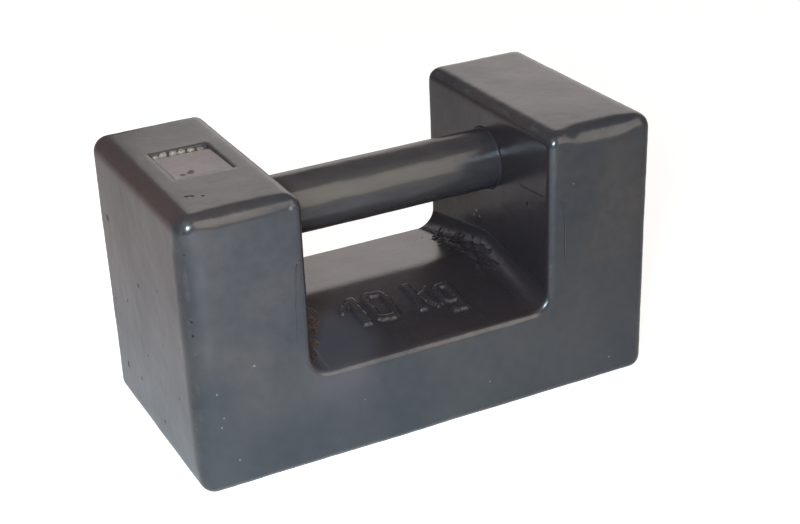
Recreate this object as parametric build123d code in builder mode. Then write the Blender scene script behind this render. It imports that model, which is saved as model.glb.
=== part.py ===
"""Rectangular bar calibration weight, 10 kg, in cast iron.

A block with two uprights, and a round handle bar cast into both of them. The floor of the
notch between the uprights is a low roof that sheds dirt and water. One upright has a pocket
in its top, with a closing plate over the cavity that holds the adjusting shot.

Millimetres, +Z up, length along X. The origin is the middle of the underside.
"""

import os
from math import atan, degrees

from build123d import *

os.makedirs("parts", exist_ok=True)

# Block, which widens a little towards the top where it leaves the mould
foot_length = 190.0
foot_width = 95.0
height = 109.0
top_width = 96.0
corner_radius = 5.5
top_edge_radius = 4.5
foot_edge_radius = 4.0

# Notch between the uprights
notch_length = 99.6
ridge_height = 45.2
eave_height = 37.2
ridge_radius = 12.0
ridge_line_width = 2.0
floor_wall_radius = 8.0
notch_edge_radius = 3.6

# Handle bar, with its ends cast into the uprights
handle_diameter = 24.2
handle_height = 84.4
handle_grip_in_wall = 10.0
collar_height = 1.0
collar_reach = 1.6
collar_lip = 0.2

# Pocket for the closing plate, and the adjusting cavity below it
pocket_x = -71.3
pocket_y = 1.4
pocket_length = 22.2
pocket_width = 28.0
pocket_depth = 4.6
pocket_corner_radius = 1.2
cavity_length = 16.0
cavity_width = 18.0
cavity_depth = 42.0
cavity_corner_radius = 3.0

# Closing plate and the strip of lead behind it
plate_thickness = 4.0
plate_edge_radius = 0.4
seal_width = 3.6
seal_thickness = 3.0
seal_lumps = 6
seal_lump_radius = 1.6
seal_lump_length = 3.0
seal_lump_bevel = 0.5

# Lead shot that trims the mass
shot_depth = 24.0

# Worked-out sizes
draft_angle = degrees(atan((top_width - foot_width) / 2 / height))
wall_x = notch_length / 2
face_y = (foot_width + top_width) / 4
roof_fall = (ridge_height - eave_height) / face_y
handle_radius = handle_diameter / 2
handle_length = notch_length + 2 * handle_grip_in_wall
pocket_floor = height - pocket_depth
cavity_floor = pocket_floor - cavity_depth
plate_width = pocket_width - seal_width
plate_y = pocket_y - seal_width / 2
seal_y = pocket_y + plate_width / 2
lump_pitch = pocket_length / seal_lumps
bar_surface = handle_height + handle_radius
handle_axis = Axis((0, 0, handle_height), (1, 0, 0))

# The casting: block, notch, collars, bores for the bar, pocket and cavity
with BuildPart() as casting:
    with BuildSketch(Plane.XY):
        Rectangle(foot_length, foot_width)
    extrude(amount=height)
    draft(casting.faces().sort_by(Axis.Z)[1:-1], neutral_plane=Plane.XY, angle=-draft_angle)
    fillet(casting.edges().group_by(Axis.Z)[1], radius=corner_radius)
    fillet(casting.edges().group_by(Axis.Z)[-1], radius=top_edge_radius)
    fillet(casting.edges().group_by(Axis.Z)[0], radius=foot_edge_radius)

    with BuildSketch(Plane.YZ.offset(-wall_x)):
        with BuildLine():
            Polyline(
                (-foot_width, ridge_height - roof_fall * foot_width),
                (0, ridge_height),
                (foot_width, ridge_height - roof_fall * foot_width),
                (foot_width, height + top_edge_radius),
                (-foot_width, height + top_edge_radius),
                close=True,
            )
        make_face()
    extrude(amount=notch_length, mode=Mode.SUBTRACT)
    ridge_line = casting.edges().filter_by_position(Axis.Z, eave_height, ridge_height)
    ridge_line = ridge_line.filter_by(Axis.X)
    ridge_line = ridge_line.filter_by_position(Axis.Y, -ridge_line_width / 2, ridge_line_width / 2)
    fillet(ridge_line, radius=ridge_radius)
    floor_edges = casting.edges().filter_by_position(Axis.Z, eave_height, ridge_height)
    floor_edges = floor_edges.filter_by_position(Axis.X, -wall_x, wall_x)
    wall_foot_edges = floor_edges.group_by(Axis.X)[0] + floor_edges.group_by(Axis.X)[-1]
    fillet(wall_foot_edges, radius=floor_wall_radius)
    upright_tops = casting.faces().filter_by(Axis.Z).group_by(Axis.Z)[-1]
    inner_top_edges = upright_tops.edges().group_by(SortBy.LENGTH)[-1]
    fillet(inner_top_edges, radius=notch_edge_radius)

    with BuildSketch(Plane.XZ):
        with BuildLine():
            RadiusArc(
                (wall_x, bar_surface + collar_height),
                (wall_x - collar_reach, bar_surface + collar_lip),
                -collar_reach,
            )
            Polyline(
                (wall_x - collar_reach, bar_surface + collar_lip),
                (wall_x - collar_reach, handle_height),
                (wall_x + collar_reach, handle_height),
                (wall_x + collar_reach, bar_surface + collar_height),
                (wall_x, bar_surface + collar_height),
            )
        make_face()
        mirror(about=Plane.YZ)
    revolve(axis=handle_axis)
    with BuildSketch(Plane.YZ.offset(-handle_length / 2)):
        with Locations((0, handle_height)):
            Circle(handle_radius)
    extrude(amount=handle_length, mode=Mode.SUBTRACT)

    with BuildSketch(Plane.XY.offset(height)):
        with Locations((pocket_x, pocket_y)):
            RectangleRounded(pocket_length, pocket_width, pocket_corner_radius)
    extrude(amount=-pocket_depth, mode=Mode.SUBTRACT)
    with BuildSketch(Plane.XY.offset(pocket_floor)):
        with Locations((pocket_x, pocket_y)):
            RectangleRounded(cavity_length, cavity_width, cavity_corner_radius)
    extrude(amount=-cavity_depth, mode=Mode.SUBTRACT)
casting.part.label = "casting"
export_step(casting.part, "parts/casting.step")

# The handle bar: plain round steel, its ends held in the iron
with BuildPart() as handle_bar:
    with BuildSketch(Plane.YZ.offset(-handle_length / 2)):
        with Locations((0, handle_height)):
            Circle(handle_radius)
    extrude(amount=handle_length)
handle_bar.part.label = "handle_bar"
export_step(handle_bar.part, "parts/handle_bar.step")

# The closing plate: it lies on the ledge around the cavity, a little below the upright's top
with BuildPart() as closing_plate:
    with BuildSketch(Plane.XY.offset(pocket_floor)) as plate_outline:
        with Locations((pocket_x, plate_y)):
            Rectangle(pocket_length, plate_width)
        fillet(plate_outline.vertices().group_by(Axis.Y)[0], radius=pocket_corner_radius)
    extrude(amount=plate_thickness)
    fillet(closing_plate.faces().sort_by(Axis.Z)[-1].edges(), radius=plate_edge_radius)
closing_plate.part.label = "closing_plate"
export_step(closing_plate.part, "parts/closing_plate.step")

# One lump of the lead, as the punch leaves it
with BuildPart() as seal_lump:
    with BuildSketch(Plane.XZ):
        Circle(seal_lump_radius)
    extrude(amount=seal_lump_length / 2, both=True)
    chamfer(seal_lump.edges().filter_by(GeomType.CIRCLE), seal_lump_bevel)

# The lead seal: a strip hammered in behind the plate, which leaves a row of lumps
with BuildPart() as lead_seal:
    with BuildSketch(Plane.XY.offset(pocket_floor)) as seal_outline:
        with Locations((pocket_x, seal_y)):
            Rectangle(pocket_length, seal_width)
        fillet(seal_outline.vertices().group_by(Axis.Y)[-1], radius=pocket_corner_radius)
    extrude(amount=seal_thickness)
    with Locations((pocket_x, seal_y, pocket_floor + seal_thickness)):
        with GridLocations(lump_pitch, seal_width, seal_lumps, 1):
            add(seal_lump.part)
lead_seal.part.label = "lead_seal"
export_step(lead_seal.part, "parts/lead_seal.step")

# The adjusting shot: small lead balls that lie level in the cavity, drawn as one body
with BuildPart() as adjusting_shot:
    with BuildSketch(Plane.XY.offset(cavity_floor)):
        with Locations((pocket_x, pocket_y)):
            RectangleRounded(cavity_length, cavity_width, cavity_corner_radius)
    extrude(amount=shot_depth)
adjusting_shot.part.label = "adjusting_shot"
export_step(adjusting_shot.part, "parts/adjusting_shot.step")
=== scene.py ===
from math import atan2, cos, pi, radians, sin, tan

import bpy
import numpy as np
from mathutils import Matrix, Vector, noise
from mathutils.geometry import delaunay_2d_cdt


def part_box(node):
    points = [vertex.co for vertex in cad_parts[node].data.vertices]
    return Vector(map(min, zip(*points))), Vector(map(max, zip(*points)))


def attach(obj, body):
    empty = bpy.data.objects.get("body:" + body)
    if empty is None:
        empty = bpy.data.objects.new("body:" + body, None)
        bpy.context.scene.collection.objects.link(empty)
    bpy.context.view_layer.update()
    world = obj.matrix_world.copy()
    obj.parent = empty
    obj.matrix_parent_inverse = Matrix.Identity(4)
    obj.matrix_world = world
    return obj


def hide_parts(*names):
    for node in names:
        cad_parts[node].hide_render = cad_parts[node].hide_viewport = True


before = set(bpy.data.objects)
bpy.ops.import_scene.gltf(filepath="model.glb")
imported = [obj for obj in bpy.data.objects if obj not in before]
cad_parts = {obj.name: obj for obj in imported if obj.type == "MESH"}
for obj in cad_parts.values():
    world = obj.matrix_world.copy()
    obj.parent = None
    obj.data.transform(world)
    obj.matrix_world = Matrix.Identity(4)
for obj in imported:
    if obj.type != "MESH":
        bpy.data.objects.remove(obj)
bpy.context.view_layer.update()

# --------------------------------------------------
# The casting. One block of grey iron, poured in a sand mould, with a core that left the
# notch between its two uprights. It isn't machined: the mould rounds every edge, the
# faces are a little uneven, and dark grey enamel is brushed straight over them.
# --------------------------------------------------
mm = 0.001
casting_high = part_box("casting")[1] / mm
bar_low, bar_high = [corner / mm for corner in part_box("handle_bar")]
plate_low, plate_high = [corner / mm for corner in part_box("closing_plate")]
seal_low, seal_high = [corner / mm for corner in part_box("lead_seal")]

block_height = casting_high.z
mould_draft = 0.5
half_length = casting_high.x - mould_draft
half_width = casting_high.y - mould_draft
wall_x = 49.8
ridge_height = 45.2
eave_height = 37.2
ridge_softness = 2.0

foot_radius = 5.3
end_top_radius = 6.2
inner_top_radius = 5.2
floor_wall_radius = 8.0
foot_rim = 4.0
end_rim = 5.2
top_rim = 4.9
wall_rim = 3.2
eave_rim = 2.0
eave_rim_drop = 0.6
left_top_radius = 5.8
right_top_radius = 7.2
front_left_extra = 2.8
rim_ramp = 9.0

surface_pitch = 1.5
rim_roughness = 0.08
hollow_roughness = 0.3
arc_steps = 9
rim_steps = 8

pocket_left, pocket_right = seal_low.x, seal_high.x
pocket_front, pocket_back = plate_low.y, seal_high.y
pocket_depth = block_height - plate_low.z
pocket_lip = 0.35
pocket_lip_drop = 0.12
lip_steps = np.array((-pocket_lip, 0.0, pocket_lip))


def even_steps(start, end, pitch):
    """Evenly spaced values from start to end, both included, about a pitch apart."""
    return np.linspace(start, end, max(2, round(abs(end - start) / pitch) + 1))


def rounded_outline(corners, pitch, steps):
    """Rows of x, z, outward normal, rim radius and bend along a closed, rounded outline.

    A corner is (x, z, radius, rim radius of the run that leaves it). Bend is 1 at the
    middle of a convex corner, -1 at the middle of a concave one, and 0 on a straight run.
    """
    rows = []
    count = len(corners)
    places = [np.array(corner[:2]) for corner in corners]
    heads = [places[(i + 1) % count] - places[i] for i in range(count)]
    lengths = [np.linalg.norm(head) for head in heads]
    heads = [head / length for head, length in zip(heads, lengths)]
    turns = [
        atan2(heads[i - 1][0] * heads[i][1] - heads[i - 1][1] * heads[i][0], heads[i - 1] @ heads[i])
        for i in range(count)
    ]
    reaches = [corner[2] * tan(abs(turn) / 2) for corner, turn in zip(corners, turns)]
    for i, (x, z, radius, rim) in enumerate(corners):
        side = 1 if turns[i] > 0 else -1
        arrive = heads[i - 1]
        inward = np.array((-arrive[1], arrive[0])) * side
        centre = places[i] - arrive * reaches[i] + inward * radius
        for step in range(steps + 1) if radius else (0,):
            share = step / steps
            swing = turns[i] * share
            spoke = np.array((
                cos(swing) * -inward[0] + sin(swing) * inward[1],
                -sin(swing) * inward[0] - cos(swing) * inward[1],
            ))
            blend = corners[i - 1][3] * (1 - share) + rim * share
            rows.append((*(centre + spoke * radius), *(spoke * side), blend, side * sin(pi * share)))
        for distance in even_steps(reaches[i], lengths[i] - reaches[(i + 1) % count], pitch)[1:-1]:
            rows.append((*(places[i] + heads[i] * distance), heads[i][1], -heads[i][0], rim, 0.0))
    return np.array(rows)


pocket_stations = [
    (x, block_height, 0.0, top_rim)
    for x in (*(pocket_right - lip_steps), *(pocket_left + lip_steps[::-1]))
]
outline = rounded_outline(
    [
        (-half_length, 0.0, foot_radius, foot_rim),
        (half_length, 0.0, foot_radius, end_rim),
        (half_length, block_height, end_top_radius, top_rim),
        (wall_x, block_height, inner_top_radius, wall_rim),
        (wall_x, ridge_height, floor_wall_radius, eave_rim),
        (-wall_x, ridge_height, floor_wall_radius, wall_rim),
        (-wall_x, block_height, inner_top_radius, top_rim),
        *pocket_stations,
        (-half_length, block_height, end_top_radius, end_rim),
    ],
    surface_pitch,
    arc_steps,
)
spots, outward, rims, bend = outline[:, :2], outline[:, 2:4], outline[:, 4], outline[:, 5]


def eased(share):
    """A smooth step from 0 to 1 while the share goes from 0 to 1."""
    share = np.clip(share, 0, 1)
    return share * share * (3 - 2 * share)


# On the straight runs the rims reach further down the faces, as the worn pattern left them,
# and the front left edge is rounder than the rest.
from_wall = np.abs(spots[:, 0]) - wall_x
from_end = half_length - np.abs(spots[:, 0])
top_run = (spots[:, 1] > block_height - 0.01) * eased(
    np.minimum(from_wall - inner_top_radius, from_end - end_top_radius) / rim_ramp
)
eave_run = (np.abs(spots[:, 1] - ridge_height) < 0.01) * eased((-from_wall - floor_wall_radius) / rim_ramp)
left_run = (spots[:, 0] < 0.01 - half_length) * eased(
    np.minimum(spots[:, 1] - foot_radius, block_height - end_top_radius - spots[:, 1]) / rim_ramp
)
top_radius = np.where(spots[:, 0] < 0, left_top_radius, right_top_radius)
front_extra = (top_radius - top_rim) * top_run + front_left_extra * left_run
rim_shapes = {
    -1: (rims + front_extra + eave_rim_drop * eave_run, rims + front_extra),
    1: (rims + eave_rim_drop * eave_run, rims),
}

# The skin goes round the outline, and from the front rim over the block to the back rim.
top_reach = half_width - top_rim
stops = [-top_reach, *(pocket_front + lip_steps), *(pocket_back + lip_steps), top_reach]
depth_shares = np.concatenate(
    [even_steps(a, b, surface_pitch)[:-1] for a, b in zip(stops, stops[1:])] + [[top_reach]]
) / top_reach
rim_angles = np.linspace(pi / 2, 0, rim_steps + 1)[:-1]
rows = [(-1, angle) for angle in rim_angles]
rows += [(share, 0.0) for share in depth_shares]
rows += [(1, angle) for angle in rim_angles[::-1]]
station_count, row_count = len(spots), len(rows)
skin = np.zeros((row_count, station_count, 3))
edge_wear = np.zeros((row_count, station_count))
for row, (share, angle) in enumerate(rows):
    side = 1 if share > 0 else -1
    reach, rim_depth = rim_shapes[side]
    place = spots - outward * (reach * (1 - cos(angle)))[:, None]
    skin[row, :, 0], skin[row, :, 2] = place[:, 0], place[:, 1]
    inset = (rim_depth - top_rim) * max(0.0, 2 * abs(share) - 1)
    skin[row, :, 1] = share * top_reach + side * (rim_depth * sin(angle) - inset)
    edge_wear[row] = np.maximum(np.maximum(bend, 0.0), sin(2 * angle))
inward_share = np.array([1.0 if angle == 0 else 1 - sin(angle) for share, angle in rows])[:, None]
crevice = np.maximum(-bend, 0.0) * inward_share**2

inside_pocket = np.minimum.reduce([
    skin[:, :, 0] - pocket_left, pocket_right - skin[:, :, 0],
    skin[:, :, 1] - pocket_front, pocket_back - skin[:, :, 1],
])
on_left_top = (skin[:, :, 2] > block_height - 0.01) & (skin[:, :, 0] < -wall_x)
drop = np.interp(inside_pocket, lip_steps, (0.0, pocket_lip_drop, pocket_depth))
skin[:, :, 2] -= np.where(on_left_top, drop, 0.0)

block_points = skin.reshape(-1, 3).tolist()
block_faces = []
for row in range(row_count - 1):
    here, ahead = row * station_count, (row + 1) * station_count
    for station in range(station_count):
        beside = (station + 1) % station_count
        block_faces.append((here + station, ahead + station, ahead + beside, here + beside))

# The flat front and back are filled with even triangles inside the first and last rows.
fill_spots = []
fill_reach = half_length - end_rim - front_left_extra - 1
fill_top = block_height - right_top_radius - 1
for column, x in enumerate(np.arange(-fill_reach, fill_reach, surface_pitch)):
    shift = (column % 2) * surface_pitch / 2
    for z in np.arange(foot_rim + surface_pitch + shift, fill_top, surface_pitch):
        if abs(x) > wall_x + wall_rim + 1 or z < ridge_height - eave_rim - eave_rim_drop - 1:
            fill_spots.append((x, z))
for side, ring_row in ((-1, 0), (1, row_count - 1)):
    ring = skin[ring_row][:, (0, 2)]
    fill = delaunay_2d_cdt(
        [Vector(spot) for spot in (*ring, *fill_spots)], [], [list(range(station_count))], 1, 1e-5
    )
    point_at = []
    for spot, sources in zip(fill[0], fill[3]):
        if sources and sources[0] < station_count:
            point_at.append(ring_row * station_count + sources[0])
        else:
            point_at.append(len(block_points))
            block_points.append((spot.x, side * half_width, spot.y))
    for triangle in fill[2]:
        around = [point_at[corner] for corner in triangle]
        block_faces.append(around if side < 0 else around[::-1])

# The notch's walls and floor, fading over the front and back rims. This mask paints shade into the notch,
# and also places the painted fillet highlight and the duller gloss there.
on_walls = (np.abs(spots[:, 0]) < wall_x + 0.5) & (spots[:, 1] > ridge_height - 0.5)
block_points = np.array(block_points)
flat_count = len(block_points) - edge_wear.size
edge_wear, crevice, sheltered = [
    np.concatenate([layer.ravel(), np.zeros(flat_count)])
    for layer in (edge_wear, crevice, on_walls * inward_share)
]

# A painted highlight: a pale streak along the fillet at the foot of the right wall, where the
# curved fillet mirrors the light. It is given by its angle round the fillet and by its
# strength, both along y.
streak_half_angle = 9.5
streak_angles = (-48, 0, 48), (33, 48, 28)
streak_strengths = (-45, -25, 0, 35), (0.0, 0.22, 0.6, 1.0)
into_fillet = block_points[:, 0] - wall_x + floor_wall_radius
up_fillet = np.clip(block_points[:, 2] - ridge_height, 0, floor_wall_radius)
climb = np.degrees(np.arctan2(into_fillet, floor_wall_radius - up_fillet))
off_streak = climb - np.interp(block_points[:, 1], *streak_angles)
streak = np.exp(-((off_streak / streak_half_angle) ** 2))
streak *= sheltered * np.interp(block_points[:, 1], *streak_strengths)


def roof_drop(y):
    """How far the notch floor lies below its ridge at a depth y."""
    fall = (ridge_height - eave_height) / (half_width - ridge_softness)
    return fall * (np.sqrt(y**2 + ridge_softness**2) - ridge_softness)


# The notch floor falls from its ridge to both faces, and the block widens upwards.
across, level = np.abs(block_points[:, 0]), block_points[:, 2].copy()
full_fall = ridge_height - eave_rim, ridge_height + floor_wall_radius
by_level = np.interp(level, (8, *full_fall, 100), (0, 1, 1, 0))
by_length = np.interp(across, (wall_x + 6, wall_x + 30), (1, 0))
block_points[:, 2] -= roof_drop(block_points[:, 1]) * by_level * by_length
widening = mould_draft * level / block_height
outer_share = np.clip((across - wall_x) / (half_length - wall_x), 0, 1)
block_points[:, 0] += np.sign(block_points[:, 0]) * widening * outer_share
block_points[:, 1] *= 1 + widening / half_width


def unevenness(point):
    """Height in mm of the sand-cast surface and its paint above the true surface."""
    spot = Vector(point)
    return (
        0.14 * noise.noise(spot / 26)
        + 0.06 * noise.noise(spot / 9 + Vector((7, 0, 0)))
        + 0.022 * noise.noise(spot / 3.6 + Vector((0, 5, 0)))
    )


def make_piece(name, points, faces):
    """A smooth-shaded object in the scene, from points in millimetres."""
    mesh = bpy.data.meshes.new(name)
    mesh.from_pydata([Vector(point) * mm for point in points], [], faces)
    mesh.polygons.foreach_set("use_smooth", [True] * len(mesh.polygons))
    mesh.update()
    piece = bpy.data.objects.new(name, mesh)
    bpy.context.scene.collection.objects.link(piece)
    return piece


def store(piece, **layers):
    """Keep numbers on a mesh, one per point, for its material to read by their name."""
    for name, values in layers.items():
        layer = piece.data.attributes.new(name, "FLOAT", "POINT")
        layer.data.foreach_set("value", np.asarray(values, dtype=np.float32))


casting = make_piece("casting_block", block_points, block_faces)
normals = np.zeros(len(block_points) * 3)
casting.data.vertices.foreach_get("normal", normals)
normals = normals.reshape(-1, 3)
lift = np.array([
    unevenness(point)
    + hollow_roughness * pit * max(0.0, noise.noise(Vector(point) / 2.2))
    + rim_roughness * edge * noise.noise(Vector(point) / 2.6)
    for point, pit, edge in zip(block_points, crevice, edge_wear)
])
lift = np.where(level < 0.5, 0, lift)
lifted = (block_points + normals * lift[:, None]) * mm
casting.data.vertices.foreach_set("co", lifted.ravel())
casting.data.update()
store(casting, edge_wear=edge_wear, crevice=crevice, sheltered=sheltered, streak=streak)


def fill(node, values):
    """Set a node's inputs, by name or number, from sockets, numbers or colours."""
    for title, value in values.items():
        if isinstance(value, bpy.types.NodeSocket):
            node.id_data.links.new(value, node.inputs[title])
        else:
            node.inputs[title].default_value = value
    return node.outputs


def new_material(name):
    """A material, its node tree, its Principled shader and the object's own coordinates."""
    material = bpy.data.materials.new(name)
    material.use_nodes = True
    tree = material.node_tree
    place = tree.nodes.new("ShaderNodeTexCoord").outputs["Object"]
    return material, tree, tree.nodes["Principled BSDF"], place


def new_group(name, inputs, outputs):
    """A shader node group with named sockets, what it is given and the node that it gives to."""
    group = bpy.data.node_groups.new(name, "ShaderNodeTree")
    for title, kind, default in inputs:
        socket = group.interface.new_socket(title, in_out="INPUT", socket_type="NodeSocket" + kind)
        if default is not None:
            socket.default_value = default
    for title, kind in outputs:
        group.interface.new_socket(title, in_out="OUTPUT", socket_type="NodeSocket" + kind)
    return group, group.nodes.new("NodeGroupInput").outputs, group.nodes.new("NodeGroupOutput")


def wire_value(tree, operation, *terms):
    """One Math node."""
    node = tree.nodes.new("ShaderNodeMath")
    node.operation = operation
    return fill(node, dict(enumerate(terms)))[0]


def wire_mix(tree, share, first, second, blend="MIX"):
    """One colour Mix node."""
    node = tree.nodes.new("ShaderNodeMix")
    node.data_type = "RGBA"
    node.blend_type = blend
    return fill(node, {0: share, 6: first, 7: second})[2]


def wire_noise(tree, place, scale, detail=3.0, roughness=0.55):
    """One Noise Texture node: scale is in repeats per metre."""
    node = tree.nodes.new("ShaderNodeTexNoise")
    values = {"Vector": place, "Scale": scale, "Detail": detail, "Roughness": roughness}
    return fill(node, values)["Fac"]


def wire_ramp(tree, value, low, high, to_low=0.0, to_high=1.0):
    """One smooth Map Range node from low..high to to_low..to_high."""
    node = tree.nodes.new("ShaderNodeMapRange")
    node.interpolation_type = "SMOOTHSTEP"
    values = {"Value": value, "From Min": low, "From Max": high, "To Min": to_low, "To Max": to_high}
    return fill(node, values)["Result"]


# Brushed enamel: slow drifts between two tones, finer mottling, and a soft orange peel.
enamel, given, gives = new_group(
    "brushed_enamel",
    [("Vector", "Vector", None), ("Cool Tone", "Color", (0.05, 0.05, 0.06, 1)),
     ("Warm Tone", "Color", (0.06, 0.05, 0.05, 1)), ("Mottle", "Float", 0.2),
     ("Gloss Roughness", "Float", 0.3), ("Gloss Level", "Float", 0.5), ("Peel Scale", "Float", 500.0)],
    [("Color", "Color"), ("Roughness", "Float"), ("Gloss Level", "Float"), ("Height", "Float")],
)
drift = wire_ramp(enamel, wire_noise(enamel, given["Vector"], 22.0, 2.0), 0.3, 0.7)
tone = wire_mix(enamel, drift, given["Cool Tone"], given["Warm Tone"])
fine = wire_noise(enamel, given["Vector"], 210.0, 4.0, 0.6)
finest = wire_noise(enamel, given["Vector"], 650.0, 3.0, 0.6)
either_way = wire_value(enamel, "SUBTRACT", fine, 0.5)
mottle = wire_value(enamel, "MULTIPLY_ADD", either_way, given["Mottle"], 1.0)
grain = wire_value(enamel, "ADD", finest, wire_value(enamel, "ADD", fine, drift))
patchy = wire_value(enamel, "MULTIPLY_ADD", grain, 0.42, 0.37)
peel = wire_noise(enamel, given["Vector"], given["Peel Scale"], 2.0, 0.4)
swell = wire_noise(enamel, given["Vector"], 90.0, 2.0)
fill(gives, {
    "Color": wire_mix(enamel, 1.0, tone, mottle, "MULTIPLY"),
    "Roughness": wire_value(enamel, "MULTIPLY_ADD", either_way, 0.06, given["Gloss Roughness"]),
    "Gloss Level": wire_value(enamel, "MULTIPLY", patchy, given["Gloss Level"]),
    "Height": wire_value(enamel, "MULTIPLY_ADD", swell, 3.0, peel),
})

# Rubbed edges: a mask that breaks up along the edges where the enamel has worn thin.
rubbed, given, gives = new_group(
    "rubbed_edges",
    [("Vector", "Vector", None), ("Edge", "Float", 0.0), ("Amount", "Float", 0.5)],
    [("Mask", "Float")],
)
breaks = wire_noise(rubbed, given["Vector"], 130.0, 5.0, 0.65)
threshold = wire_value(rubbed, "SUBTRACT", 1.25, given["Amount"])
full_wear = wire_value(rubbed, "ADD", threshold, 0.35)
worn = wire_value(rubbed, "MULTIPLY", given["Edge"], wire_value(rubbed, "ADD", breaks, 0.5))
fill(gives, {"Mask": wire_ramp(rubbed, worn, threshold, full_wear)})

# A small mark: a soft spot with a ragged edge round a point in the object's own frame.
marked, given, gives = new_group(
    "small_mark",
    [("Vector", "Vector", None), ("Centre", "Vector", None), ("Radius", "Float", 0.001),
     ("Raggedness", "Float", 1.0)],
    [("Mask", "Float")],
)
away = marked.nodes.new("ShaderNodeVectorMath")
away.operation = "DISTANCE"
fill(away, {0: given["Vector"], 1: given["Centre"]})
ragged = wire_value(marked, "SUBTRACT", wire_noise(marked, given["Vector"], 900.0, 2.0), 0.5)
ratio = wire_value(marked, "DIVIDE", away.outputs["Value"], given["Radius"])
edge = wire_value(marked, "MULTIPLY_ADD", ragged, given["Raggedness"], ratio)
fill(gives, {"Mask": wire_ramp(marked, edge, 1.2, 0.6)})


def place_group(tree, group, values):
    """One group node with its inputs set. Returns its outputs."""
    node = tree.nodes.new("ShaderNodeGroup")
    node.node_tree = group
    return fill(node, values)


def add_bump(tree, shader, height, strength, distance):
    """A Bump node from a height to the shader's normal."""
    values = {"Height": height, "Strength": strength, "Distance": distance}
    fill(shader, {"Normal": fill(tree.nodes.new("ShaderNodeBump"), values)["Normal"]})


def read_layer(tree, name):
    """The numbers that store() kept on a mesh."""
    node = tree.nodes.new("ShaderNodeAttribute")
    node.attribute_name = name
    return node.outputs["Fac"]


def joined_marks(tree, place, marks):
    """One mask for a list of (x, y, z, radius) marks in millimetres."""
    total = 0.0
    for x, y, z, radius in marks:
        values = {"Vector": place, "Centre": (x * mm, y * mm, z * mm), "Radius": radius * mm}
        total = wire_value(tree, "MAXIMUM", place_group(tree, marked, values)["Mask"], total)
    return total


def layered(tree, colour, layers):
    """A colour with (mask, colour) layers over it, the last one on top."""
    for mask, tone in layers:
        colour = wire_mix(tree, mask, colour, tone)
    return colour


skin_lift = 0.3
front, left = -half_width - skin_lift, -half_length - skin_lift
pits = [
    (left, 34.6, 79.8, 1.7), (left, 31.5, 17.6, 1.3), (left, 15.4, 19.2, 1.0), (left, -9.0, 12.5, 0.8),
    (left, 4.7, 63.5, 0.9), (left, -30.0, 33.0, 0.5), (left, 22.0, 50.0, 0.7), (left, -18.0, 71.0, 0.5),
    (left, 3.0, 35.0, 0.6), (left, 38.0, 44.0, 0.6), (left, -36.0, 56.0, 0.5), (wall_x, -31.5, 76.0, 0.9),
    (-84.6, -28.6, block_height, 0.9), (-83.0, -29.2, block_height, 0.9), (-79.6, -31.0, block_height, 0.7),
    (-92.9, -45.4, 96.0, 0.55), (-92.8, -45.3, 70.4, 0.55), (-92.8, -45.3, 65.0, 0.5),
]
# Light flecks in the enamel, and one painted glint: the mark at x -54.4 on the front top edge of the left
# upright.
flecks = [
    (-72.4, front, 48.5, 0.5), (-87.0, front, 41.1, 0.45), (-86.3, front, 27.4, 0.5),
    (-80.7, front, 12.2, 0.5), (-85.2, front, 31.0, 0.4), (23.0, front, 14.0, 0.4),
    (78.0, front, 9.0, 0.6), (60.0, front, 88.0, 0.3), (-30.0, front, 22.0, 0.3),
    (-54.4, -47.4, 104.6, 0.9), (wall_x, 7.5, 59.0, 0.9), (wall_x, 5.2, 57.2, 0.6),
    (wall_x, 9.4, 56.4, 0.5),
]
rust_spots = [
    (-46.4, -41.0, 39.8, 1.5), (-44.0, -36.0, 40.0, 1.9), (-42.0, -29.5, 40.6, 2.6),
    (-39.6, -22.5, 41.7, 3.2), (-37.2, -17.0, 42.6, 3.2), (-34.6, -11.0, 43.6, 2.3),
]
dust_middle, dust_radius = (-0.038, -0.032, 0.040), 0.021
film_from, film_full = (-87.5 * mm, -44.0 * mm), (-94.5 * mm, -38.5 * mm)
low_tone_from, low_tone_full = 70.0 * mm, 5.0 * mm
right_wall_from, right_wall_full = 45.5 * mm, 49.5 * mm
back_slope_from, back_slope_full = -3.0 * mm, 5.0 * mm
least_gloss = 0.08

iron_paint, tree, shader, place = new_material("grey_enamel_on_iron")
coat = place_group(tree, enamel, {
    "Vector": place, "Cool Tone": (0.027, 0.029, 0.034, 1), "Warm Tone": (0.037, 0.031, 0.030, 1),
    "Mottle": 0.55, "Gloss Roughness": 0.24, "Gloss Level": 0.72, "Peel Scale": 330.0,
})
thin = place_group(tree, rubbed, {"Vector": place, "Edge": read_layer(tree, "edge_wear"), "Amount": 0.28})
hollow = place_group(tree, rubbed, {"Vector": place, "Edge": read_layer(tree, "crevice"), "Amount": 0.75})
# A paler, purple-grey patch with a soft edge over the left of the notch floor's front slope.
dust = place_group(tree, marked, {
    "Vector": place, "Centre": dust_middle, "Radius": dust_radius, "Raggedness": 0.1,
})
along = fill(tree.nodes.new("ShaderNodeSeparateXYZ"), {0: place})
inner = read_layer(tree, "sheltered")
# Painted warm light on the left end face and its top rounding, away from the front edge: lighter and
# browner there, with less gloss.
film = wire_value(
    tree, "MULTIPLY",
    wire_ramp(tree, along["X"], film_from[0], film_full[0]),
    wire_ramp(tree, along["Y"], film_from[1], film_full[1]),
)
broken = wire_ramp(tree, wire_noise(tree, place, 380.0, 4.0, 0.6), 0.25, 0.6, 0.35, 1.0)
# A painted cool tint of the light, growing towards the bottom of the outer faces outside the notch.
low_down = wire_ramp(tree, along["Z"], low_tone_from, low_tone_full, 0.0, 0.6)
low_outside = wire_value(tree, "MULTIPLY", low_down, wire_value(tree, "SUBTRACT", 1.0, inner))
pit_mask = joined_marks(tree, place, pits)
stained = joined_marks(tree, place, rust_spots)
speckle = wire_ramp(tree, wire_noise(tree, place, 1000.0, 4.0, 0.7), 0.44, 0.56)
rust = wire_value(tree, "MULTIPLY", stained, speckle)
# Painted shade in the notch: the enamel colour there is made a quarter darker.
shelter = wire_value(tree, "MULTIPLY_ADD", inner, -0.25, 1.0)
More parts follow.
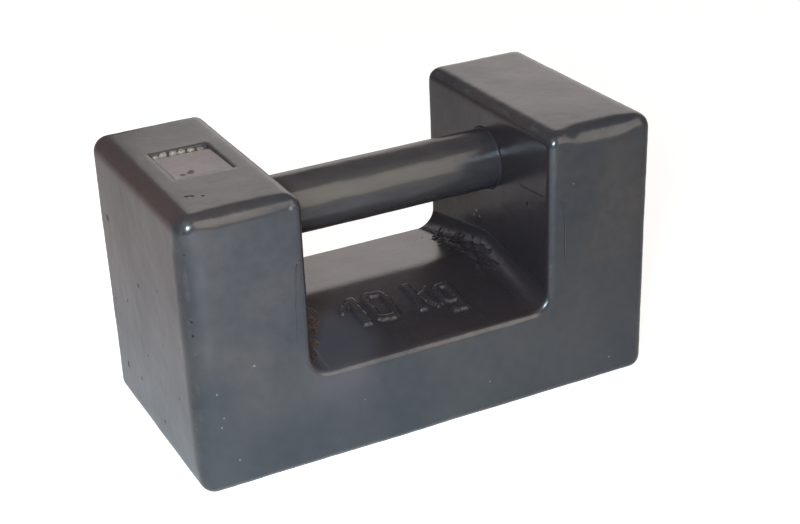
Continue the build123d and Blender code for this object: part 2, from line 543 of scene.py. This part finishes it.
colour = layered(tree, wire_mix(tree, 1.0, coat["Color"], shelter, "MULTIPLY"), [
    (thin["Mask"], (0.075, 0.070, 0.066, 1)),
    (hollow["Mask"], (0.030, 0.025, 0.025, 1)),
    # Painted warm light on the left end.
    (wire_value(tree, "MULTIPLY", film, 0.8), (0.062, 0.035, 0.032, 1)),
    # More painted shade in the notch, darker and a little redder.
    (wire_value(tree, "MULTIPLY", inner, 0.6), (0.031, 0.022, 0.023, 1)),
    # Painted highlight: a pale streak along the right fillet where it mirrors the light.
    (wire_value(tree, "MULTIPLY", read_layer(tree, "streak"), broken), (0.175, 0.142, 0.128, 1)),
    # Painted cool tint low on the outer faces.
    (low_outside, (0.022, 0.031, 0.038, 1)),
    (pit_mask, (0.018, 0.016, 0.016, 1)),
    # Light flecks, and the painted glint on the left upright's front top edge.
    (joined_marks(tree, place, flecks), (0.13, 0.125, 0.12, 1)),
    (wire_value(tree, "MULTIPLY", dust["Mask"], 0.8), (0.055, 0.051, 0.059, 1)),
    (stained, (0.020, 0.016, 0.015, 1)),
    (rust, (0.115, 0.074, 0.060, 1)),
])
pooled = wire_ramp(tree, read_layer(tree, "crevice"), 0.0, 0.55)
on_right_wall = wire_ramp(tree, along["X"], right_wall_from, right_wall_full)
on_back_slope = wire_ramp(tree, along["Y"], back_slope_from, back_slope_full)
gloss_kept = 1.0
for mask, loss in (
    (film, -0.2),
    (inner, -0.2),
    (wire_value(tree, "MULTIPLY", inner, on_right_wall), -0.22),
    (wire_value(tree, "MULTIPLY", inner, on_back_slope), -0.1),
    (pooled, -0.8),
    (wire_value(tree, "MAXIMUM", pit_mask, rust), -1.0),
):
    gloss_kept = wire_value(tree, "MULTIPLY_ADD", mask, loss, gloss_kept)
gloss_kept = wire_value(tree, "MAXIMUM", gloss_kept, least_gloss)
dull = wire_value(tree, "MAXIMUM", pooled, rust)
fill(shader, {
    "Base Color": colour,
    "Roughness": wire_value(tree, "MULTIPLY_ADD", dull, 0.35, coat["Roughness"]),
    "Specular IOR Level": wire_value(tree, "MULTIPLY", coat["Gloss Level"], gloss_kept),
})
scaly = wire_value(tree, "MULTIPLY_ADD", rust, 4.0, coat["Height"])
add_bump(tree, shader, wire_value(tree, "MULTIPLY_ADD", pit_mask, -6.0, scaly), 0.6, 0.00005)
casting.data.materials.append(iron_paint)
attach(casting, "root")
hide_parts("casting")

# --------------------------------------------------
# The value. The mass, "10 kg", stands up from the front slope of the notch floor. It was
# pressed into the sand with loose letters, so its strokes are soft and a little uneven.
# --------------------------------------------------
value_relief_height = 1.15
value_pitch = 0.25
stroke_corner = 0.7
sunk = 0.35
value_x = np.arange(-28.5, 26.0, value_pitch)
value_y = np.arange(-37.5, -7.5, value_pitch)
grid_x, grid_y = np.meshgrid(value_x, value_y)


def bar_stroke(start, end, half_thickness):
    """Depth inside a straight stroke with square ends, over the whole grid."""
    run = np.array(end) - start
    half_run = np.linalg.norm(run) / 2
    ahead = run / (2 * half_run)
    from_x, from_y = grid_x - (start[0] + end[0]) / 2, grid_y - (start[1] + end[1]) / 2
    over_run = np.abs(from_x * ahead[0] + from_y * ahead[1]) - half_run + stroke_corner
    over_side = np.abs(from_x * ahead[1] - from_y * ahead[0]) - half_thickness + stroke_corner
    outside = np.hypot(np.maximum(over_run, 0), np.maximum(over_side, 0))
    return stroke_corner - outside - np.minimum(np.maximum(over_run, over_side), 0)


def ring_stroke(centre, half_size, corner, half_thickness):
    """Depth inside a stroke that follows a rounded rectangle."""
    over_x = np.abs(grid_x - centre[0]) - half_size[0] + corner
    over_y = np.abs(grid_y - centre[1]) - half_size[1] + corner
    outside = np.hypot(np.maximum(over_x, 0), np.maximum(over_y, 0))
    return half_thickness - np.abs(outside + np.minimum(np.maximum(over_x, over_y), 0) - corner)


value_depth = np.maximum.reduce([
    bar_stroke((-17.8, -10.4), (-17.8, -28.0), 2.2),
    bar_stroke((-17.0, -11.6), (-24.9, -17.8), 1.45),
    ring_stroke((-8.5, -19.2), (4.0, 7.6), 3.0, 1.6),
    bar_stroke((6.2, -10.5), (6.2, -28.2), 1.95),
    bar_stroke((7.4, -21.2), (14.5, -15.7), 1.65),
    bar_stroke((9.2, -19.2), (13.2, -28.2), 1.9),
    ring_stroke((19.1, -21.6), (2.6, 4.7), 2.0, 1.4),
    bar_stroke((21.8, -15.6), (21.8, -33.6), 1.45),
    bar_stroke((22.6, -32.4), (16.0, -32.4), 1.4),
])


def over_grid(field, *grids):
    """The value of a field at every point of a grid."""
    spots_on_grid = zip(*(grid.ravel() for grid in grids))
    return np.array([field(*spot) for spot in spots_on_grid]).reshape(grids[0].shape)


def grid_faces(lines, columns, kept=None):
    """Square faces over a grid of points, or only those whose first point is kept."""
    firsts = [line * columns + column for line in range(lines - 1) for column in range(columns - 1)]
    return [(i, i + 1, i + 1 + columns, i + columns) for i in firsts if kept is None or kept[i]]


def floor_relief(name, grid_x, grid_y, rise, edge_wear, crevice):
    """A piece of raised iron on the notch floor, from its height over a grid."""
    into_fillet = np.clip(grid_x - wall_x + floor_wall_radius, 0, floor_wall_radius)
    fillet_rise = floor_wall_radius - np.sqrt(floor_wall_radius**2 - into_fillet**2)
    floor_z = ridge_height - roof_drop(grid_y) + fillet_rise
    floor_z += over_grid(lambda *spot: unevenness(spot), grid_x, grid_y, floor_z)
    points = np.stack([grid_x, grid_y, floor_z + rise], axis=-1).reshape(-1, 3)
    piece = make_piece(name, points, grid_faces(*rise.shape, rise.ravel() > 0.02 - sunk))
    # Raised pieces on the notch floor get the notch's painted shade in full.
    store(piece, edge_wear=edge_wear.ravel(), crevice=crevice.ravel(), sheltered=np.ones(rise.size))
    piece.data.materials.append(iron_paint)
    return piece


wobble = over_grid(
    lambda x, y: 0.42 * noise.noise(Vector((x, y, 0)) / 2.4) + 0.26 * noise.noise(Vector((x, y, 4)) / 0.9),
    grid_x, grid_y,
)
value_section = (
    (-0.9, -0.5, -0.15, 0.1, 0.35, 0.65, 1.0, 1.5),
    (-sunk, 0.0, 0.26, 0.62, 0.92, 1.08, 1.18, value_relief_height),
)
value = floor_relief(
    "value_relief", grid_x, grid_y, np.interp(value_depth + wobble, *value_section),
    edge_wear=np.interp(value_depth, (-0.1, 0.5, 1.2), (0.0, 0.9, 0.18)),
    crevice=np.interp(value_depth, (-0.9, -0.4, 0.1), (0.4, 0.32, 0.0)),
)
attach(value, "root")

# --------------------------------------------------
# The sand scab. At the foot of the right wall the core crumbled a little and the iron ran
# into it. The rough lumps were never dressed off, only painted over.
# --------------------------------------------------
scab_pitch = 0.45
scab_height = 0.9
scab_middle, scab_reach = (42.6, 9.0), (6.2, 28.0)
grid_x, grid_y = np.meshgrid(*(
    np.arange(middle - reach, middle + reach, scab_pitch) for middle, reach in zip(scab_middle, scab_reach)
))
inside = 1 - np.hypot((grid_x - scab_middle[0]) / scab_reach[0], (grid_y - scab_middle[1]) / scab_reach[1])
lumps = over_grid(
    lambda x, y: noise.noise(Vector((x, y / 1.6, 2)) / 2.8) + 0.5 * noise.noise(Vector((x, y, 7)) / 1.4),
    grid_x, grid_y,
)
rise = np.interp(
    1.3 * inside + lumps - 0.25, (-0.25, 0.0, 0.5, 1.0), (-sunk, 0.0, 0.7 * scab_height, scab_height)
)
scab = floor_relief(
    "sand_scab", grid_x, grid_y, rise,
    edge_wear=np.interp(rise, (0.4, 0.9), (0.0, 1.0)),
    crevice=np.interp(rise, (0.0, 0.9), (0.45, 0.1)),
)
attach(scab, "root")

# --------------------------------------------------
# The core seams. Thin beads of iron ran into the joint between the core and the mould,
# beside each inner edge of the uprights. They were rubbed down and painted over.
# --------------------------------------------------
seam_radius = 0.30
seam_lift = 0.35


def upright_front(x):
    """Depth of the front face near an inner edge, where the rim turns into the notch."""
    turn = np.clip(wall_x + wall_rim - np.abs(x), 0, wall_rim)
    return -(half_width + seam_lift - wall_rim + np.sqrt(wall_rim**2 - turn**2))


def make_bead(name, path, radius):
    """A thin round bead along a path, tapered at both ends."""
    path = [Vector(point) for point in path]
    smooth = []
    for i in range(len(path) - 1):
        before, after = path[max(i - 1, 0)], path[min(i + 2, len(path) - 1)]
        count = max(3, int((path[i + 1] - path[i]).length / 0.8))
        for step in range(count):
            t = step / count
            start_pull, end_pull = (path[i + 1] - before) / 2, (after - path[i]) / 2
            smooth.append(
                path[i] * (2 * t**3 - 3 * t**2 + 1) + start_pull * (t**3 - 2 * t**2 + t)
                + path[i + 1] * (3 * t**2 - 2 * t**3) + end_pull * (t**3 - t**2)
            )
    smooth.append(path[-1])
    points, faces, sides = [], [], 8
    for i, centre in enumerate(smooth):
        ahead = (smooth[min(i + 1, len(smooth) - 1)] - smooth[max(i - 1, 0)]).normalized()
        first = ahead.cross(Vector((0.3, 0.2, 1))).normalized()
        second = ahead.cross(first)
        share = i / (len(smooth) - 1)
        girth = radius * min(1.0, 6 * share + 0.2, 6 * (1 - share) + 0.2)
        girth *= 1 + 0.35 * noise.noise(centre / 2.5)
        for side in range(sides):
            swing = 2 * pi * side / sides
            points.append(centre + (first * cos(swing) + second * sin(swing)) * girth)
    for i in range(len(smooth) - 1):
        for side in range(sides):
            beside = (side + 1) % sides
            here, ahead = i * sides, (i + 1) * sides
            faces.append((here + side, here + beside, ahead + beside, ahead + side))
    faces += [list(range(sides))[::-1], list(range(len(points) - sides, len(points)))]
    return make_piece(name, points, faces)


seam_paint, tree, shader, place = new_material("grey_enamel_in_seams")
coat = place_group(tree, enamel, {
    "Vector": place, "Cool Tone": (0.027, 0.030, 0.035, 1), "Warm Tone": (0.036, 0.032, 0.030, 1),
    "Mottle": 0.5, "Gloss Roughness": 0.24, "Gloss Level": 0.7, "Peel Scale": 600.0,
})
fill(shader, {
    "Base Color": coat["Color"], "Roughness": coat["Roughness"], "Specular IOR Level": coat["Gloss Level"],
})
add_bump(tree, shader, coat["Height"], 0.6, 0.00006)

left_seam = [
    (-50.4, 84.9), (-52.2, 84.4), (-53.6, 82.8), (-54.4, 79.0), (-54.8, 72.0), (-55.1, 62.0), (-55.3, 53.0),
]
right_seam = [
    (50.6, 83.4), (52.4, 83.1), (54.6, 81.6), (55.9, 78.6), (56.4, 74.0), (56.6, 64.0), (56.6, 56.0),
]
wall_seam = [(-24.0, 82.8), (-29.0, 82.1), (-36.0, 82.6), (-43.2, 83.3)]
seam_paths = {
    "front_left": [(x, upright_front(x), z) for x, z in left_seam],
    "front_right": [(x, upright_front(x), z) for x, z in right_seam],
    "right_wall": [(wall_x - 0.05, y, z) for y, z in wall_seam],
    "back_left": [(x, -upright_front(x), z) for x, z in left_seam],
    "back_right": [(x, -upright_front(x), z) for x, z in right_seam],
}
for spot, path in seam_paths.items():
    bead = make_bead("core_seam_" + spot, path, seam_radius)
    bead.data.materials.append(seam_paint)
    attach(bead, "root")

# --------------------------------------------------
# The handle. A round steel bar, set in the mould before the iron was poured, so that the
# casting holds both its ends. It has the same enamel, brushed on thickly along the bar.
# --------------------------------------------------
bar_radius = (bar_high.z - bar_low.z) / 2
bar_axis = (bar_high.z + bar_low.z) / 2
bar_sides = 96
bar_pitch = 1.1


def turned_points(stations, uneven, sides):
    """Rings of points about the bar's axis, one ring per (x, radius) station."""
    points = []
    for x, radius in stations:
        for side in range(sides):
            swing = 2 * pi * side / sides
            reach = radius + uneven(x, swing)
            points.append((x, reach * sin(swing), bar_axis + reach * cos(swing)))
    return points


def ring_faces(rings, sides):
    """Faces between neighbouring rings of points."""
    return [
        (ring * sides + side, (ring + 1) * sides + side,
         (ring + 1) * sides + (side + 1) % sides, ring * sides + (side + 1) % sides)
        for ring in range(rings - 1) for side in range(sides)
    ]


def brushed_unevenness(x, swing):
    """The bar's paint: long shallow brush marks, a few runs and small bumps."""
    spot = Vector((x / 14, sin(swing) * 2.2, cos(swing) * 2.2))
    fine = Vector((x / 4, sin(swing) * 5, cos(swing) * 5))
    return 0.10 * noise.noise(spot) + 0.045 * noise.noise(fine) - 0.06


bar_stations = [(bar_low.x, bar_radius - 1.0), (bar_low.x, bar_radius - 0.5)]
bar_stations += [(x, bar_radius) for x in even_steps(bar_low.x + 0.5, bar_high.x - 0.5, bar_pitch)]
bar_stations += [(bar_high.x, bar_radius - 0.5), (bar_high.x, bar_radius - 1.0)]
bar_points = turned_points(bar_stations, brushed_unevenness, bar_sides)
bar_faces = ring_faces(len(bar_stations), bar_sides)
bar_faces += [list(range(bar_sides)), list(range(len(bar_points) - bar_sides, len(bar_points)))[::-1]]
handle = make_piece("handle_bar_painted", bar_points, bar_faces)
bar_x, bar_y, bar_z = np.array(bar_points).T
bar_turn = np.degrees(np.arctan2(-bar_y, bar_z - bar_axis))
# A painted light band: the upper front of the bar, where it mirrors the light, is painted lighter and
# glossier, fading towards the right end.
gripped_round = np.interp(bar_turn, (22, 50, 74, 98), (0.0, 1.0, 1.0, 0.0))
store(
    handle,
    wall_grime=np.interp(-bar_x, (wall_x - 9, wall_x - 5), (0.0, 1.3)),
    gripped=gripped_round * np.interp(bar_x, (22, 40), (1.0, 0.2)),
)

bar_paint, tree, shader, place = new_material("grey_enamel_on_bar")
stretch = fill(tree.nodes.new("ShaderNodeMapping"), {"Scale": (0.35, 1.0, 1.0), "Vector": place})["Vector"]
coat = place_group(tree, enamel, {
    "Vector": stretch, "Cool Tone": (0.032, 0.030, 0.035, 1), "Warm Tone": (0.046, 0.038, 0.036, 1),
    "Mottle": 0.8, "Gloss Roughness": 0.235, "Gloss Level": 0.80, "Peel Scale": 380.0,
})
# A lighter brown patch round the left end of the bar, broken up by noise.
grime = place_group(tree, rubbed, {"Vector": place, "Edge": read_layer(tree, "wall_grime"), "Amount": 0.85})
brushed = wire_value(tree, "SUBTRACT", wire_noise(tree, stretch, 260.0, 5.0, 0.65), 0.5)
# The painted light band along the bar, broken up by the brush marks.
gripped = wire_value(tree, "MULTIPLY_ADD", brushed, 1.6, read_layer(tree, "gripped"))
gripped = wire_ramp(tree, gripped, 0.35, 0.75)
polish = wire_value(tree, "MULTIPLY_ADD", gripped, 0.2, 0.56)
fill(shader, {
    "Base Color": layered(tree, coat["Color"], [
        (gripped, (0.044, 0.039, 0.036, 1)), (grime["Mask"], (0.085, 0.053, 0.040, 1)),
    ]),
    "Roughness": coat["Roughness"],
    "Specular IOR Level": wire_value(tree, "MULTIPLY", polish, coat["Gloss Level"]),
})
add_bump(tree, shader, coat["Height"], 0.9, 0.00009)
handle.data.materials.append(bar_paint)
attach(handle, "root")
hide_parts("handle_bar")

# --------------------------------------------------
# The collars. Where the iron closed round the bar it left a low flared ring on each inner
# wall, with a sharp lip against the bar. The lip catches the light as a thin line.
# --------------------------------------------------
collar_profile = [
    (-0.8, 1.5), (0.0, 0.8), (0.2, 0.5), (0.4, 0.34), (0.55, 0.26), (0.65, 0.2), (0.7, 0.1), (0.6, -0.3),
]
collar_wear = (0, 0, 0, 0, 0.3, 0.9, 1.1, 0.5)
collar_grime = (0.3, 0.5, 0.5, 0.3, 0.1, 0, 0, 0)


def poured_unevenness(x, swing):
    """The uneven reach of the flare, strongest against the wall."""
    out = wall_x - abs(x)
    spot = Vector((np.sign(x) * 3, sin(swing) * 1.6, cos(swing) * 1.6))
    return (0.55 * noise.noise(spot) + 0.2 * noise.noise(spot * 3)) * max(0.0, 0.6 - out) / 1.2


for side_name, side in (("left", -1), ("right", 1)):
    stations = [(side * (wall_x - out), bar_radius + reach) for out, reach in collar_profile]
    points = turned_points(stations, poured_unevenness, bar_sides)
    faces = [face[::side] for face in ring_faces(len(stations), bar_sides)]
    collar = make_piece("collar_" + side_name, points, faces)
    # The collars get the notch's painted shade in full.
    store(
        collar, edge_wear=np.repeat(collar_wear, bar_sides), crevice=np.repeat(collar_grime, bar_sides),
        sheltered=np.ones(len(points)),
    )
    collar.data.materials.append(iron_paint)
    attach(collar, "root")

# --------------------------------------------------
# The closing plate. A small steel plate shuts the adjusting hole in the left upright. It
# is nearly flush in front and a little sunk behind, and its paint is dull and thin.
# --------------------------------------------------
plate_pitch = 0.45
plate_edge = 0.5
front_overlap = 1.0
plate_tilt_back, plate_tilt_right = 0.5, 0.35
plate_x = [plate_low.x - front_overlap, *even_steps(plate_low.x, plate_high.x, plate_pitch)]
plate_y = [plate_low.y - front_overlap, *even_steps(plate_low.y, plate_high.y, plate_pitch)]
grid_x, grid_y = np.meshgrid(plate_x, plate_y)
back_share = np.clip((grid_y - plate_low.y) / (plate_high.y - plate_low.y), 0, 1)
right_share = np.clip((grid_x - plate_low.x) / (plate_high.x - plate_low.x), 0, 1)
top_z = block_height + 0.035 - plate_tilt_back * back_share**2 - plate_tilt_right * right_share**2
to_edge = np.minimum(plate_high.y - grid_y, plate_high.x - grid_x)
top_z -= np.interp(to_edge, (0, plate_edge), (0.45, 0.0))
top_z -= np.where((grid_x < plate_low.x - 0.1) | (grid_y < plate_low.y - 0.1), 0.055, 0.0)
top_z += over_grid(
    lambda x, y: unevenness((x, y, block_height)) + 0.03 * noise.noise(Vector((x, y, 9)) / 1.6),
    grid_x, grid_y,
)


def slab(name, top, low):
    """A closed piece from a grid of top points down to a flat base at its low corner."""
    lines, columns = top.shape[:2]
    points = top.reshape(-1, 3).tolist()
    faces = grid_faces(lines, columns)
    rim = list(range(columns)) + [line * columns + columns - 1 for line in range(1, lines)]
    rim += [(lines - 1) * columns + i for i in range(columns - 2, -1, -1)]
    rim += [line * columns for line in range(lines - 2, 0, -1)]
    base = len(points)
    points += [(max(points[i][0], low.x), max(points[i][1], low.y), low.z + 0.05) for i in rim]
    for i in range(len(rim)):
        after = (i + 1) % len(rim)
        faces.append((rim[after], rim[i], base + i, base + after))
    faces.append([base + i for i in range(len(rim))][::-1])
    return make_piece(name, points, faces), len(rim)


plate, rim_count = slab("closing_plate_painted", np.stack([grid_x, grid_y, top_z], axis=-1), plate_low)
near_edge = np.minimum(grid_x - plate_low.x, grid_y - plate_low.y).ravel()
edge_values = np.interp(near_edge, (-0.7, 1.3), (1.2, 0.0))
store(plate, edge_wear=np.concatenate([edge_values, np.ones(rim_count)]))

plate_paint, tree, shader, place = new_material("thin_enamel_on_plate")
coat = place_group(tree, enamel, {
    "Vector": place, "Cool Tone": (0.225, 0.193, 0.184, 1), "Warm Tone": (0.285, 0.228, 0.212, 1),
    "Mottle": 0.55, "Gloss Roughness": 0.50, "Gloss Level": 0.5, "Peel Scale": 900.0,
})
thin = place_group(tree, rubbed, {"Vector": place, "Edge": read_layer(tree, "edge_wear"), "Amount": 0.65})
smudge = joined_marks(tree, place, [
    (-75.7, -9.0, 109.0, 1.4), (-74.9, -7.8, 109.0, 1.1), (-78.8, -9.6, 109.0, 1.1),
])
fill(shader, {
    "Base Color": layered(tree, coat["Color"], [
        (thin["Mask"], (0.158, 0.148, 0.147, 1)), (smudge, (0.060, 0.048, 0.048, 1)),
    ]),
    "Roughness": coat["Roughness"],
})
add_bump(tree, shader, coat["Height"], 0.8, 0.00006)
plate.data.materials.append(plate_paint)
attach(plate, "root")
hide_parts("closing_plate")

# --------------------------------------------------
# The seal. A strip of lead, beaten down into the gap behind the plate with a punch, which
# left a row of uneven lumps. Nobody can lift the plate without spoiling it.
# --------------------------------------------------
seal_pitch = 0.22
lump_places = [-80.7, -77.6, -73.8, -70.4, -66.7, -63.2]
lump_heights = [2.0, 2.6, 2.7, 2.45, 2.1, 1.7]
lump_half_width, lump_half_depth = 1.85, 1.3
lump_flat = 0.7
lump_y = seal_high.y - 0.95
seal_floor = plate_high.z - 2.0
grid_x, grid_y = np.meshgrid(
    even_steps(seal_low.x + 0.15, seal_high.x - 0.15, seal_pitch),
    even_steps(plate_high.y + 0.1, seal_high.y - 0.15, seal_pitch),
)
beaten = np.zeros(grid_x.shape)
for number, (x, height) in enumerate(zip(lump_places, lump_heights)):
    lean = 0.25 * sin(number * 2.1)
    spread = ((grid_x - x) / lump_half_width) ** 2 + ((grid_y - lump_y - lean) / lump_half_depth) ** 2
    beaten = np.maximum(beaten, height * np.sqrt(np.clip((1 - spread) / lump_flat, 0, 1)))
beaten += over_grid(lambda x, y: 0.4 * noise.noise(Vector((x, y, 1)) / 1.1), grid_x, grid_y)
seal_z = np.minimum(seal_floor + beaten, block_height + 0.1)
seal, rim_count = slab("lead_seal_beaten", np.stack([grid_x, grid_y, seal_z], axis=-1), seal_low)
store(seal, lump=np.concatenate([np.clip(beaten.ravel() / 1.6, 0, 1), np.zeros(rim_count)]))

lead, tree, shader, place = new_material("beaten_lead")
coat = place_group(tree, enamel, {
    "Vector": place, "Cool Tone": (0.16, 0.125, 0.105, 1), "Warm Tone": (0.33, 0.25, 0.20, 1),
    "Mottle": 0.9, "Gloss Roughness": 0.62, "Gloss Level": 0.5, "Peel Scale": 1500.0,
})
# The lead low between and under the lumps is painted near black, as painted shade in the gaps; the lumps
# keep the lead's colour.
raised = wire_ramp(tree, read_layer(tree, "lump"), 0.55, 0.98)
fill(shader, {
    "Base Color": wire_mix(tree, raised, (0.030, 0.024, 0.022, 1), coat["Color"]),
    "Roughness": coat["Roughness"],
    "Metallic": wire_value(tree, "MULTIPLY", raised, 0.2),
})
add_bump(tree, shader, coat["Height"], 0.8, 0.00008)
seal.data.materials.append(lead)
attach(seal, "root")
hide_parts("lead_seal")

# --------------------------------------------------
# The adjusting shot. Loose lead shot under the plate brings the weight to its exact mass.
# It is shut in, and keeps the plain shape of its filling, with a skin of round shot.
# --------------------------------------------------
lead_shot, tree, shader, place = new_material("round_lead_shot")
balls = fill(tree.nodes.new("ShaderNodeTexVoronoi"), {"Scale": 480.0, "Vector": place})
coat = place_group(tree, enamel, {
    "Vector": place, "Cool Tone": (0.16, 0.16, 0.17, 1), "Warm Tone": (0.22, 0.21, 0.21, 1),
    "Mottle": 0.4, "Gloss Roughness": 0.5, "Gloss Level": 0.5, "Peel Scale": 900.0,
})
# The gaps between the balls of shot are painted near black, as painted shade.
gaps = wire_ramp(tree, balls["Distance"], 0.35, 0.6)
fill(shader, {
    "Base Color": wire_mix(tree, gaps, coat["Color"], (0.02, 0.02, 0.022, 1)),
    "Roughness": coat["Roughness"],
    "Metallic": 0.6,
})
add_bump(tree, shader, wire_value(tree, "MULTIPLY", balls["Distance"], -1.0), 1.0, 0.0012)
shot = bpy.data.objects["adjusting_shot"]
for slot in shot.material_slots:
    slot.material = lead_shot
if not shot.material_slots:
    shot.data.materials.append(lead_shot)

# --------------------------------------------------
# The studio floor. A white sheet that goes on past the edges of the view. Rays from
# the camera see it close to white, and it keeps the soft shadow under the weight. Its
# colour, and the glow that mirrors see, are painted darker towards both sides as painted shade.
# --------------------------------------------------
floor_size = 6000.0
floor_drop = 0.05
sheet_glow = 0.8
mirrored_glow = 0.33
sheet_tint = (1.0, 0.955, 0.92)
studio_floor = make_piece("studio_floor", [
    (x * floor_size, y * floor_size, -floor_drop) for x, y in ((-1, -1), (1, -1), (1, 1), (-1, 1))
], [(0, 1, 2, 3)])
white_sheet, tree, shader, place = new_material("white_sheet")
across_sheet = fill(tree.nodes.new("ShaderNodeSeparateXYZ"), {0: place})["X"]
# Painted shade on the sheet: its colour and mirrored glow fall off towards both sides, so the block's faces
# mirror a darker floor there.
from_right = wire_ramp(tree, across_sheet, -0.12, 0.20, 0.97, 0.45)
from_left = wire_ramp(tree, across_sheet, -0.22, -0.06, 0.64, 0.97)
sheet_tone = wire_value(tree, "MINIMUM", from_right, from_left)
ray = tree.nodes.new("ShaderNodeLightPath").outputs
mirrored = wire_value(tree, "MAXIMUM", ray["Is Glossy Ray"], ray["Is Transmission Ray"])
mirrored = wire_value(tree, "MULTIPLY", mirrored, wire_value(tree, "MULTIPLY", sheet_tone, mirrored_glow))
seen = wire_value(tree, "MAXIMUM", ray["Is Camera Ray"], mirrored)
fill(shader, {
    "Base Color": fill(tree.nodes.new("ShaderNodeCombineColor"), {
        channel: wire_value(tree, "MULTIPLY", sheet_tone, tint) for channel, tint in enumerate(sheet_tint)
    })[0],
    "Roughness": 0.9,
    "Specular IOR Level": 0.1,
    "Emission Color": (1, 1, 1, 1),
    "Emission Strength": wire_value(tree, "MULTIPLY", seen, sheet_glow),
})
studio_floor.data.materials.append(white_sheet)

# --------------------------------------------------
# The studio light. A big soft box at the front right does most of the work. A pale screen
# stands low behind, the ceiling is dim, and a small lamp by the camera glints on corners.
# --------------------------------------------------
block_middle = Vector((0, 0, 0.055))


def soft_box(name, turn, rise, distance, width, height, radiance, colour):
    """A rectangular lamp aimed at the block: turn is from the front towards +X, in degrees."""
    turn, rise = radians(turn), radians(rise)
    toward = Vector((sin(turn) * cos(rise), -cos(turn) * cos(rise), sin(rise)))
    lamp = bpy.data.lights.new(name, "AREA")
    lamp.shape = "RECTANGLE"
    lamp.size, lamp.size_y = width, height
    lamp.energy = radiance * pi * width * height
    lamp.color = colour
    holder = bpy.data.objects.new(name, lamp)
    holder.location = block_middle + toward * distance
    holder.rotation_euler = toward.to_track_quat("Z", "Y").to_euler()
    holder.visible_camera = False
    bpy.context.scene.collection.objects.link(holder)


soft_box("front_right_box", 31, 27, 1.8, 1.2, 1.75, 2.05, (1.0, 0.90, 0.78))
soft_box("back_screen", 141, 17, 1.6, 1.45, 0.95, 0.89, (1.0, 0.96, 0.94))
soft_box("left_window", -60, 50, 0.8, 0.5, 0.5, 0.7, (1.0, 0.80, 0.65))
soft_box("camera_lamp", -32, 28, 0.60, 0.10, 0.10, 134.0, (0.60, 0.82, 1.0))

room_glow = 0.22
mirrored_paper = 0.05
studio = bpy.data.worlds.new("studio")
studio.use_nodes = True
bpy.context.scene.world = studio
tree = studio.node_tree
room = fill(tree.nodes["Background"], {"Color": (1.0, 0.78, 0.70, 1), "Strength": room_glow})
paper = fill(tree.nodes.new("ShaderNodeBackground"), {"Color": (1, 1, 1, 1), "Strength": 1.0})
ray = tree.nodes.new("ShaderNodeLightPath").outputs
shows_paper = wire_value(tree, "MAXIMUM", ray["Is Camera Ray"], ray["Is Transmission Ray"])
mirrored = wire_value(tree, "MULTIPLY", ray["Is Glossy Ray"], mirrored_paper)
shows_paper = wire_value(tree, "MAXIMUM", shows_paper, mirrored)
either = fill(tree.nodes.new("ShaderNodeMixShader"), {0: shows_paper, 1: room[0], 2: paper[0]})
fill(tree.nodes["World Output"], {"Surface": either[0]})

# --------------------------------------------------
# The camera. It stands front left of the block and looks down on it.
# --------------------------------------------------
picture_width, picture_height = 800, 524
focal_pixels = 1586.719
axis_pixel_x, axis_pixel_y = 376.556, 254.006
view_turn, view_rise, view_roll = radians(-25.684), radians(25.286), radians(-2.595)
view_distance = 0.621634
view_target = Vector((0.000168, -0.00003, 0.054597))

toward_camera = Vector((sin(view_turn) * cos(view_rise), -cos(view_turn) * cos(view_rise), sin(view_rise)))
level_right = Vector((0, 0, 1)).cross(toward_camera).normalized()
level_up = toward_camera.cross(level_right)
camera_right = cos(view_roll) * level_right + sin(view_roll) * level_up
camera_up = cos(view_roll) * level_up - sin(view_roll) * level_right
lens = bpy.data.cameras.new("camera")
lens.lens = focal_pixels / picture_width * lens.sensor_width
lens.shift_x = (picture_width / 2 - axis_pixel_x) / picture_width
lens.shift_y = (axis_pixel_y - picture_height / 2) / picture_width
lens.clip_start = 0.01
camera = bpy.data.objects.new("camera", lens)
turned = Matrix((camera_right, camera_up, toward_camera)).transposed().to_4x4()
camera.matrix_world = Matrix.Translation(view_target + toward_camera * view_distance) @ turned
bpy.context.scene.collection.objects.link(camera)
bpy.context.scene.camera = camera
bpy.context.scene.view_settings.view_transform = "Standard"
